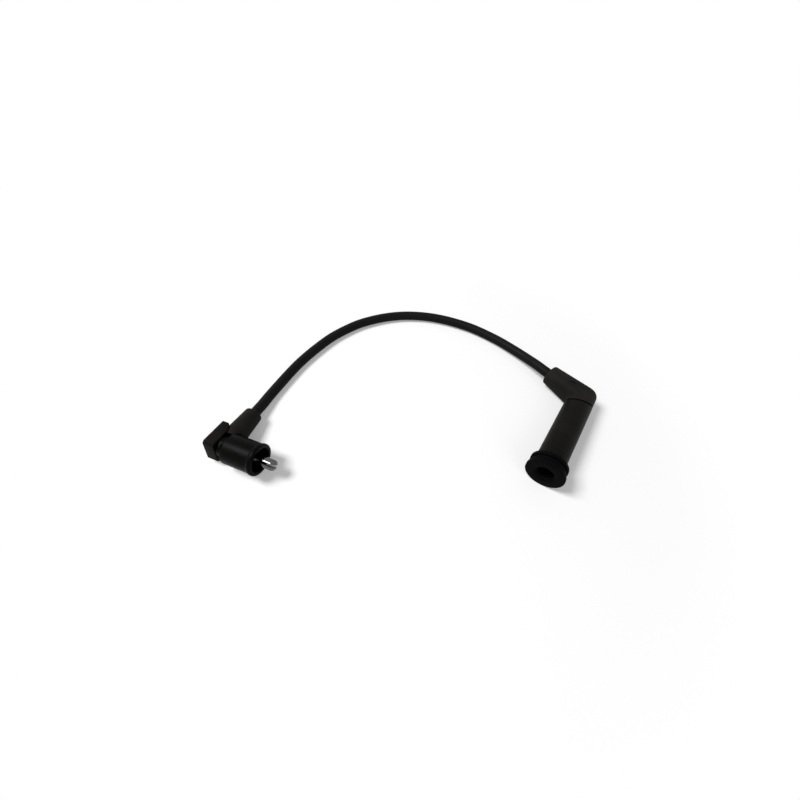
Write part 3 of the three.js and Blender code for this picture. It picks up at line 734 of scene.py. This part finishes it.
class PLUGWIRE_OT_coil_housing(bpy.types.Operator):
    """Turn the sleeve with its collar, neck and latch lug"""

    bl_idname = "plugwire.coil_housing"
    bl_label = "Coil housing"

    def execute(self, context):
        coil = context.scene.coil_sizes
        pin = context.scene.pin_sizes
        neck_end = coil.sleeve_length + coil.neck_length
        spigot_end = neck_end + coil.spigot_length
        flare_end = coil.collar_length + coil.collar_flare
        lip_step = (coil.bore_d - coil.collar_bore_d) / 2
        pin_bore = pin.shank_d / 2 + GAP
        chamber_front = coil.cable_station - coil.chamber_d / 2
        corners = [
            (pin_bore, -coil.bore_depth),
            (coil.bore_d / 2, -coil.bore_depth, 0.8 * MM),
            (coil.bore_d / 2, -coil.collar_bore_depth),
            (coil.collar_bore_d / 2, lip_step - coil.collar_bore_depth),
            (coil.collar_bore_d / 2, 0.0, 0.35 * MM),
            (coil.collar_d / 2, 0.0, 1.1 * MM),
            (coil.collar_d / 2, -coil.collar_length, 0.5 * MM),
            (coil.sleeve_d / 2, -flare_end, 0.7 * MM),
            (coil.sleeve_d / 2, -coil.sleeve_length, 0.6 * MM),
            (coil.neck_d / 2, -coil.sleeve_length, 0.6 * MM),
            (coil.neck_d / 2, -neck_end),
            (coil.spigot_d / 2, -neck_end),
            (coil.spigot_d / 2, -spigot_end),
            (coil.chamber_d / 2, -spigot_end),
            (coil.chamber_d / 2, -chamber_front),
            (pin_bore, -chamber_front),
        ]
        housing = shown(turned("coil_housing_moulding", filleted(corners)))
        foot = coil.neck_d / 2 - ROOT
        crest = coil.neck_d / 2 + coil.lug_height
        half_width = coil.lug_width / 2
        half_length = coil.lug_length / 2
        low = (-half_width, -coil.lug_station - half_length, foot)
        high = (half_width, -coil.lug_station + half_length, crest)
        lug = mesh_of(bevelled(shown(block("lug", low, high)), coil.lug_edge))
        lug.transform(Matrix.Rotation(coil.lug_turn, 4, "Y"))
        combined(housing, [lug], "UNION")
        placed(creased(housing), coil_frame(context.scene))
        dressed(housing, "hard_plastic", "coil_housing")
        return {"FINISHED"}


class PLUGWIRE_OT_coil_cap(bpy.types.Operator):
    """Build the block that closes the back of the coil connector"""

    bl_idname = "plugwire.coil_cap"
    bl_label = "Coil end cap"

    def execute(self, context):
        coil = context.scene.coil_sizes
        cap = context.scene.cap_sizes
        boot = context.scene.boot_sizes
        neck_end = coil.sleeve_length + coil.neck_length
        front = -neck_end - GAP
        back = front - cap.length
        outline = [
            (-cap.cable_side, cap.above),
            (cap.front - cap.draft - cap.ledge, cap.above),
            (cap.front - cap.draft, cap.above - cap.ledge),
            (cap.front, cap.foot_chamfer - cap.below),
            (cap.front - cap.foot_chamfer, -cap.below),
            (cap.slope_width - cap.cable_side, -cap.below),
            (-cap.cable_side, cap.slope_height - cap.below),
        ]
        centre_x = (cap.front - cap.cable_side) / 2
        centre_z = (cap.above - cap.below) / 2
        shrink_x = 1 - 2 * cap.edge / (cap.front + cap.cable_side)
        shrink_z = 1 - 2 * cap.edge / (cap.above + cap.below)
        points = []
        for x, z in outline:
            points.append((max(x, cap.cable_chamfer - cap.cable_side), front, z))
            points.append((x, front - cap.cable_chamfer_run, z))
            points.append((x, back + cap.edge, z))
            inner_x = centre_x + (x - centre_x) * shrink_x
            inner_z = centre_z + (z - centre_z) * shrink_z
            points.append((inner_x, back, inner_z))
        height = cap.above + cap.below
        leaned = [Vector((x, y - cap.lean * (cap.above - z) / height, z)) for x, y, z in points]
        piece = bevelled(shown(hull("coil_cap_moulding", leaned)), cap.soft, 3, CAP_BEVEL_LIMIT)
        spigot_end = -neck_end - coil.spigot_length
        socket = rod("socket", coil.spigot_d + 2 * GAP, spigot_end - GAP, OVERSHOOT - neck_end)
        notch_root = coil.port_d / 2 - cap.notch_root
        notch = rod("notch", boot.base_d + 2 * GAP, notch_root, cap.cable_side + OVERSHOOT)
        notch.transform(coil_cable_frame(coil))
        combined(piece, [socket, notch], "DIFFERENCE")
        placed(creased(piece, CAP_CREASE), coil_frame(context.scene))
        dressed(piece, "cap_plastic", "coil_end_cap")
        return {"FINISHED"}


class PLUGWIRE_OT_coil_boot(bpy.types.Operator):
    """Turn the rubber cone round the cable and seat it on the neck"""

    bl_idname = "plugwire.coil_boot"
    bl_label = "Coil cable boot"

    def execute(self, context):
        coil = context.scene.coil_sizes
        cap = context.scene.cap_sizes
        boot = context.scene.boot_sizes
        bore = context.scene.cable_sizes.diameter / 2 + GAP
        port = coil.port_d / 2 + GAP
        start = coil.neck_d / 2 - ROOT
        corners = [
            (port, start),
            (boot.base_d / 2, start),
            (boot.base_d / 2, coil.sleeve_d / 2),
            (boot.rim_d / 2, boot.reach, boot.rim_round),
            (bore, boot.reach, 0.4 * MM),
            (bore, coil.port_reach + GAP),
            (port, coil.port_reach + GAP),
        ]
        piece = shown(turned("coil_boot_moulding", filleted(corners, RIM_STEPS)))
        placed(piece, coil_cable_frame(coil))
        sleeve = rod("sleeve", coil.sleeve_d + 2 * GAP, -coil.sleeve_length - GAP, 0.0)
        cap_back = -coil.sleeve_length - coil.neck_length - cap.length
        saddle = rod("saddle", coil.neck_d + 2 * GAP, cap_back, 0.0)
        combined(piece, [sleeve, saddle], "DIFFERENCE")
        placed(creased(piece, CONE_CREASE), coil_frame(context.scene))
        dressed(piece, "boot_rubber", "coil_cable_boot")
        return {"FINISHED"}


class PLUGWIRE_OT_coil_pin(bpy.types.Operator):
    """Turn the contact pin and saw its slot"""

    bl_idname = "plugwire.coil_pin"
    bl_label = "Contact pin"

    def execute(self, context):
        coil = context.scene.coil_sizes
        pin = context.scene.pin_sizes
        flange_back = -coil.bore_depth + GAP
        flange_front = flange_back + pin.flange_thickness
        waist_front = flange_front + pin.waist_length
        radius = pin.diameter / 2
        corners = [
            (0.0, -pin.shank_end),
            (pin.shank_d / 2, -pin.shank_end),
            (pin.shank_d / 2, flange_back),
            (pin.flange_d / 2, flange_back, 0.2 * MM),
            (pin.flange_d / 2, flange_front, 0.3 * MM),
            (pin.waist_d / 2, flange_front),
            (pin.waist_d / 2, waist_front),
            (radius, waist_front + pin.taper, 0.5 * MM),
            (radius, pin.reach - pin.tip_round, 0.8 * MM),
            (radius * pin.tip_middle, pin.reach - pin.tip_round * pin.tip_flat, 0.7 * MM),
            (radius * pin.tip_flat, pin.reach, 0.5 * MM),
            (0.0, pin.reach),
        ]
        piece = shown(turned("coil_pin_turning", filleted(corners), PIN_SIDES))
        slot_end = pin.reach - pin.slot_length
        end = (pin.diameter, pin.reach + OVERSHOOT, pin.slot / 2)
        slot = block("slot", (-pin.diameter, slot_end, -pin.slot / 2), end)
        slot.transform(Matrix.Rotation(pin.slot_turn, 4, "Y"))
        combined(piece, [slot], "DIFFERENCE")
        bevelled(creased(piece), pin.edge, 2, PIN_BEVEL_LIMIT)
        placed(creased(piece), coil_frame(context.scene))
        dressed(piece, "pin_metal", "coil_contact_pin")
        return {"FINISHED"}


class PLUGWIRE_OT_plug_seal(bpy.types.Operator):
    """Turn the ribbed seal at the spark plug connector's mouth"""

    bl_idname = "plugwire.plug_seal"
    bl_label = "Mouth seal"

    def execute(self, context):
        plug = context.scene.plug_sizes
        rib_start = (plug.seal_length - plug.rib) / 2
        inner = plug.tube_front_d / 2 + GAP
        crest = plug.crest_round
        root = plug.root_round
        corners = [
            (plug.lip_bore_d / 2, plug.lip),
            (plug.lip_bore_d / 2, plug.lip_chamfer, 0.6 * MM),
            (plug.lip_bore_d / 2 + plug.lip_chamfer, 0.0, 0.8 * MM),
            (plug.seal_front_d / 2, 0.0, crest),
            (plug.seal_front_d / 2, plug.flange, crest),
            (plug.groove_d / 2, plug.flange, root),
            (plug.groove_d / 2, rib_start, root),
            (plug.rib_d / 2, rib_start, crest),
            (plug.rib_d / 2, rib_start + plug.rib, crest),
            (plug.groove_d / 2, rib_start + plug.rib, root),
            (plug.groove_d / 2, plug.seal_length - plug.flange, root),
            (plug.seal_d / 2, plug.seal_length - plug.flange, crest),
            (plug.seal_d / 2, plug.seal_length, crest),
            (inner, plug.seal_length, 0.3 * MM),
            (inner, plug.lip),
        ]
        piece = shown(turned("plug_seal_moulding", filleted(corners)))
        placed(piece, plug_frame(plug))
        dressed(piece, "seal_rubber", "plug_mouth_seal")
        return {"FINISHED"}


def past_shoulder(plug, before, core_d):
    """All past the slanted shoulder, from a little before it, but for a core along the tube."""
    reach = plug.elbow_d
    beyond = shown(block("beyond", (-reach, -before, -reach), (reach, reach, reach)))
    placed(beyond, shoulder_frame(plug))
    combined(beyond, [rod("core", core_d, 0.0, plug.elbow_back + reach)], "DIFFERENCE")
    return mesh_of(beyond)


class PLUGWIRE_OT_plug_tube(bpy.types.Operator):
    """Turn the rigid tube and cut its slanted shoulder"""

    bl_idname = "plugwire.plug_tube"
    bl_label = "Plug tube"

    def execute(self, context):
        plug = context.scene.plug_sizes
        front = plug.lip + GAP
        spigot_end = plug.shoulder + plug.spigot_length
        column = plug.bore_depth + plug.socket_bore_length
        corners = [
            (plug.bore_d / 2, front, 0.5 * MM),
            (plug.tube_front_d / 2, front, 0.5 * MM),
            (plug.tube_rear_d / 2, spigot_end),
            (plug.column_bore_d / 2, spigot_end),
            (plug.column_bore_d / 2, column),
            (plug.socket_bore_d / 2, column),
            (plug.socket_bore_d / 2, plug.bore_depth),
            (plug.bore_d / 2, plug.bore_depth),
        ]
        piece = shown(turned("plug_tube_moulding", filleted(corners)))
        shoulder = past_shoulder(plug, 0.0, plug.spigot_d)
        groove = past_shoulder(plug, plug.groove_wide, plug.tube_rear_d - 2 * plug.groove_deep)
        slot = rod("cable way", context.scene.cable_sizes.diameter + 4 * GAP, 0.0, plug.arm_reach)
        slot.transform(arm_frame(plug))
        combined(piece, [shoulder, groove, slot], "DIFFERENCE")
        placed(creased(piece), plug_frame(plug))
        dressed(piece, "tube_plastic", "plug_tube")
        return {"FINISHED"}


class PLUGWIRE_OT_plug_elbow(bpy.types.Operator):
    """Blend the rubber elbow from its hub and its arm"""

    bl_idname = "plugwire.plug_elbow"
    bl_label = "Rubber elbow"

    def execute(self, context):
        plug = context.scene.plug_sizes
        radius = plug.elbow_d / 2
        points = ring_points(radius, plug.elbow_root)
        points += rounded_end(radius, plug.elbow_back, plug.elbow_back_round)
        to_arm = arm_frame(plug)
        rim = rounded_end(plug.rim_d / 2, plug.arm_reach, plug.rim_round)
        points += [to_arm @ point for point in rim]
        piece = shown(hull("plug_elbow_moulding", points))
        hub = rod("hub", plug.elbow_d, plug.shoulder - radius, plug.elbow_root + OVERSHOOT)
        combined(piece, [hub], "UNION")
        skin = piece.modifiers.new("skin", "REMESH")
        skin.mode = "VOXEL"
        skin.voxel_size = plug.voxel
        soften = piece.modifiers.new("soften", "SMOOTH")
        soften.iterations = plug.soften_steps
        bpy.context.view_layer.update()
        settled(piece)
        wide = 2 * plug.elbow_d
        mouth = block("mouth", (-wide, -wide, -wide), (wide, GAP, wide))
        mouth.transform(shoulder_frame(plug))
        spigot_end = plug.shoulder + plug.spigot_length
        socket = rod("socket", plug.spigot_d + 2 * GAP, 0.0, spigot_end + GAP)
        cable_d = context.scene.cable_sizes.diameter
        bore = rod("bore", cable_d + 2 * GAP, 0.0, plug.arm_reach + OVERSHOOT)
        bore.transform(to_arm)
        half_length = plug.recess_length / 2
        half_width = plug.recess_width / 2
        recess = block(
            "recess",
            (plug.recess_x - half_length, plug.recess_station - half_width, plug.recess_floor),
            (plug.recess_x + half_length, plug.recess_station + half_width, plug.elbow_d),
        )
        combined(piece, [mouth, socket, bore, recess], "DIFFERENCE")
        placed(creased(piece), plug_frame(plug))
        dressed(piece, "boot_rubber", "plug_elbow")
        return {"FINISHED"}


def smooth_route(points, step):
    """Points close together on a centripetal Catmull-Rom curve through the route."""
    route = [Vector(point) for point in points]
    ends = [route[0] * 2 - route[1], *route, route[-1] * 2 - route[-2]]
    dense = [route[0]]
    for a, b, c, d in zip(ends, ends[1:], ends[2:], ends[3:]):
        t1 = (b - a).length ** 0.5
        t2 = t1 + (c - b).length ** 0.5
        t3 = t2 + (d - c).length ** 0.5
        count = max(1, round((c - b).length / step))
        for i in range(1, count + 1):
            t = t1 + (t2 - t1) * i / count
            a1 = a * ((t1 - t) / t1) + b * (t / t1)
            a2 = b * ((t2 - t) / (t2 - t1)) + c * ((t - t1) / (t2 - t1))
            a3 = c * ((t3 - t) / (t3 - t2)) + d * ((t - t2) / (t3 - t2))
            b1 = a1 * ((t2 - t) / t2) + a2 * (t / t2)
            b2 = a2 * ((t3 - t) / (t3 - t1)) + a3 * ((t - t1) / (t3 - t1))
            dense.append(b1 * ((t2 - t) / (t2 - t1)) + b2 * ((t - t1) / (t2 - t1)))
    return dense


CABLE_INPUTS = (
    ("Route", "NodeSocketGeometry"),
    ("Diameter", "NodeSocketFloat"),
    ("Sides", "NodeSocketInt"),
    ("Finish", "NodeSocketMaterial"),
)


def cable_tree():
    """A round jacket swept along a curve, with its place along and around kept for the finish."""
    group = bpy.data.node_groups.new("Jacket along a route", "GeometryNodeTree")
    tree = Tree(group)
    sockets = {}
    for name, kind in CABLE_INPUTS:
        sockets[name] = group.interface.new_socket(name=name, in_out="INPUT", socket_type=kind)
    group.interface.new_socket(name="Jacket", in_out="OUTPUT", socket_type="NodeSocketGeometry")
    source = tree.node("NodeGroupInput")
    given = {name: source.of(name) for name in sockets}
    place = tree.node("GeometryNodeSplineParameter", output=1)
    route = tree.node(
        "GeometryNodeStoreNamedAttribute",
        {"data_type": "FLOAT", "domain": "POINT"},
        {"Geometry": given["Route"], "Name": "along", "Value": place},
    )
    ring = {"Resolution": given["Sides"], "Radius": 1.0}
    circle = tree.node("GeometryNodeCurvePrimitiveCircle", None, ring)
    turn = tree.node("GeometryNodeInputPosition")
    marked = tree.node(
        "GeometryNodeStoreNamedAttribute",
        {"data_type": "FLOAT_VECTOR", "domain": "POINT"},
        {"Geometry": circle, "Name": "around", "Value": turn},
    )
    radius = given["Diameter"] * 0.5
    scale = tree.node("ShaderNodeCombineXYZ", None, {0: radius, 1: radius, 2: radius})
    sized = tree.node("GeometryNodeTransform", None, {"Geometry": marked, "Scale": scale})
    sweep = {"Curve": route, "Profile Curve": sized, "Fill Caps": True}
    swept = tree.node("GeometryNodeCurveToMesh", None, sweep)
    smooth = tree.node("GeometryNodeSetShadeSmooth", None, {"Geometry": swept})
    whole = tree.node("GeometryNodeRealizeInstances", None, {"Geometry": smooth})
    coat = {"Geometry": whole, "Material": given["Finish"]}
    coated = tree.node("GeometryNodeSetMaterial", None, coat)
    tree.node("NodeGroupOutput", None, {"Jacket": coated})
    return group, {name: item.identifier for name, item in sockets.items()}


class PLUGWIRE_OT_cable(bpy.types.Operator):
    """Sweep the cable's jacket along its route"""

    bl_idname = "plugwire.cable"
    bl_label = "Cable"

    def execute(self, context):
        cable = context.scene.cable_sizes
        path = smooth_route(ROUTE, ROUTE_STEP)
        curve = bpy.data.curves.new("cable route", "CURVE")
        curve.dimensions = "3D"
        spline = curve.splines.new("POLY")
        spline.points.add(len(path) - 1)
        for point, place in zip(spline.points, path):
            point.co = (*place, 1.0)
        guide = bpy.data.objects.new("ignition_cable_jacket", curve)
        context.scene.collection.objects.link(guide)
        group, keys = cable_tree()
        modifier = guide.modifiers.new("jacket", "NODES")
        modifier.node_group = group
        modifier[keys["Diameter"]] = cable.diameter
        modifier[keys["Sides"]] = cable.sides
        modifier[keys["Finish"]] = FINISHES["cable_jacket"]
        context.view_layer.update()
        graph = context.evaluated_depsgraph_get()
        mesh = bpy.data.meshes.new_from_object(guide.evaluated_get(graph))
        bpy.data.objects.remove(guide)
        mesh.name = "ignition_cable_jacket"
        piece = shown(mesh)
        dressed(piece, "cable_jacket", "ignition_cable")
        run = sum((b - a).length for a, b in zip(path, path[1:]))
        return {"FINISHED"}


NODE_FINISHES = {
    "coil_crimp_terminal": "crimp_metal",
    "coil_cable_end": "cable_jacket",
    "coil_cable_core": "cable_core",
    "plug_snap_terminal": "crimp_metal",
    "plug_snap_ring": "spring_steel",
    "resistor_rod": "resistor_ceramic",
    "resistor_cap_lower": "crimp_metal",
    "resistor_cap_upper": "crimp_metal",
    "contact_spring": "spring_steel",
    "plug_crimp_terminal": "crimp_metal",
    "plug_cable_end": "cable_jacket",
    "plug_cable_core": "cable_core",
}


class PLUGWIRE_OT_inner_pieces(bpy.types.Operator):
    """Give the terminals, the resistor, the spring and the cable ends their finishes"""

    bl_idname = "plugwire.inner_pieces"
    bl_label = "Inner pieces"

    def execute(self, context):
        for name, finish in NODE_FINISHES.items():
            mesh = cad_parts[name].data
            mesh.materials.clear()
            mesh.materials.append(FINISHES[finish])
        return {"FINISHED"}


class PLUGWIRE_OT_finishes(bpy.types.Operator):
    """Make the materials"""

    bl_idname = "plugwire.finishes"
    bl_label = "Finishes"

    def execute(self, context):
        make_finishes(context.scene.lead_colours)
        return {"FINISHED"}


def floor_finish(stage):
    """Pale floor that looks white to the camera where no shadow lies."""
    material = bpy.data.materials.new("floor")
    material.use_nodes = True
    tree = Tree(material.node_tree)
    material.node_tree.nodes.clear()
    lit = tree.node("ShaderNodeBsdfDiffuse", None, {"Color": rgba(stage.floor)})
    glow = tree.node("ShaderNodeEmission", None, {"Color": rgba(WHITE), "Strength": 1.0})
    place = tree.node("ShaderNodeTexCoord", output=3)
    distance = tree.node("ShaderNodeVectorMath", {"operation": "LENGTH"}, {0: place}, output=1)
    far = tree.node(
        "ShaderNodeMapRange",
        {"interpolation_type": "SMOOTHSTEP"},
        {0: distance, 1: stage.white_start, 2: stage.white_full, 3: stage.floor_glow, 4: 1.0},
    )
    share = tree.background_rays() * far
    surface = tree.node("ShaderNodeMixShader", None, {0: share, 1: lit, 2: glow})
    tree.node("ShaderNodeOutputMaterial", None, {"Surface": surface})
    return material


def area_light(name, place, aim, size, power):
    data = bpy.data.lights.new(name, "AREA")
    data.shape = "RECTANGLE"
    data.size, data.size_y = size
    data.energy = power
    lamp = bpy.data.objects.new(name, data)
    lamp.location = place
    lamp.rotation_euler = (Vector(aim) - Vector(place)).to_track_quat("-Z", "Y").to_euler()
    bpy.context.scene.collection.objects.link(lamp)


class PLUGWIRE_OT_stage(bpy.types.Operator):
    """Set the camera, the floor, the soft lights and the plain surroundings"""

    bl_idname = "plugwire.stage"
    bl_label = "Stage"

    def execute(self, context):
        scene = context.scene
        stage = scene.stage_look
        camera = bpy.data.objects.new("camera", bpy.data.cameras.new("camera"))
        scene.collection.objects.link(camera)
        turn = Matrix.Rotation(stage.camera_azimuth, 4, "Z")
        back = stage.camera_distance * cos(stage.camera_elevation)
        up = stage.camera_distance * sin(stage.camera_elevation)
        aim = Vector((stage.aim_x, stage.aim_y, 0.0))
        camera.location = aim + turn @ Vector((0.0, -back, up))
        camera.rotation_euler = (pi / 2 - stage.camera_elevation, 0.0, stage.camera_azimuth)
        camera.data.sensor_width = SENSOR_WIDTH
        camera.data.lens = stage.focal
        camera.data.shift_x = -stage.half_pixel
        camera.data.shift_y = stage.half_pixel
        camera.data.clip_start = CLIP_START
        scene.camera = camera

        bm = bmesh.new()
        bmesh.ops.create_grid(bm, x_segments=1, y_segments=1, size=stage.floor_half)
        floor_mesh = bpy.data.meshes.new("floor")
        bm.to_mesh(floor_mesh)
        bm.free()
        floor = shown(floor_mesh)
        floor.data.materials.append(floor_finish(stage))

        for name, place, size, power in (
            ("key", KEY_PLACE, KEY_SIZE, stage.key),
            ("fill", FILL_PLACE, FILL_SIZE, stage.fill),
        ):
            area_light(name, aim + turn @ Vector(place), aim, size, power)

        world = bpy.data.worlds.new("surroundings")
        world.use_nodes = True
        tree = Tree(world.node_tree)
        world.node_tree.nodes.clear()
        strength = tree.background_rays() * (1 - stage.sky) + stage.sky
        values = {"Color": rgba(WHITE), "Strength": strength}
        light = tree.node("ShaderNodeBackground", None, values)
        tree.node("ShaderNodeOutputWorld", None, {"Surface": light})
        scene.world = world
        scene.view_settings.view_transform = "Standard"
        return {"FINISHED"}


class PLUGWIRE_PT_panel(bpy.types.Panel):
    """Lists the steps that build the lead"""

    bl_label = "Plug wire"
    bl_idname = "PLUGWIRE_PT_panel"
    bl_space_type = "VIEW_3D"
    bl_region_type = "UI"
    bl_category = "Plug wire"

    def draw(self, context):
        for step in STEPS:
            self.layout.operator(step.bl_idname, text=step.bl_label)


SIZES = {
    "cable_sizes": CableSizes,
    "coil_sizes": CoilSizes,
    "cap_sizes": CapSizes,
    "boot_sizes": BootSizes,
    "pin_sizes": PinSizes,
    "plug_sizes": PlugSizes,
    "lead_colours": LeadColours,
    "stage_look": StageLook,
}

STEPS = (
    PLUGWIRE_OT_finishes,
    PLUGWIRE_OT_stage,
    PLUGWIRE_OT_cable,
    PLUGWIRE_OT_coil_housing,
    PLUGWIRE_OT_coil_cap,
    PLUGWIRE_OT_coil_boot,
    PLUGWIRE_OT_coil_pin,
    PLUGWIRE_OT_plug_seal,
    PLUGWIRE_OT_plug_tube,
    PLUGWIRE_OT_plug_elbow,
    PLUGWIRE_OT_inner_pieces,
)


def register():
    for group in SIZES.values():
        bpy.utils.register_class(group)
    for name, group in SIZES.items():
        setattr(bpy.types.Scene, name, PointerProperty(type=group))
    for step in STEPS:
        bpy.utils.register_class(step)
    bpy.utils.register_class(PLUGWIRE_PT_panel)


def unregister():
    bpy.utils.unregister_class(PLUGWIRE_PT_panel)
    for step in reversed(STEPS):
        bpy.utils.unregister_class(step)
    for name in SIZES:
        delattr(bpy.types.Scene, name)
    for group in reversed(list(SIZES.values())):
        bpy.utils.unregister_class(group)


def run(step):
    """Calls a step's operator by its name."""
    family, name = step.bl_idname.split(".")
    getattr(getattr(bpy.ops, family), name)()


def main():
    register()
    for step in STEPS:
        run(step)


if __name__ == "__main__":
    main()
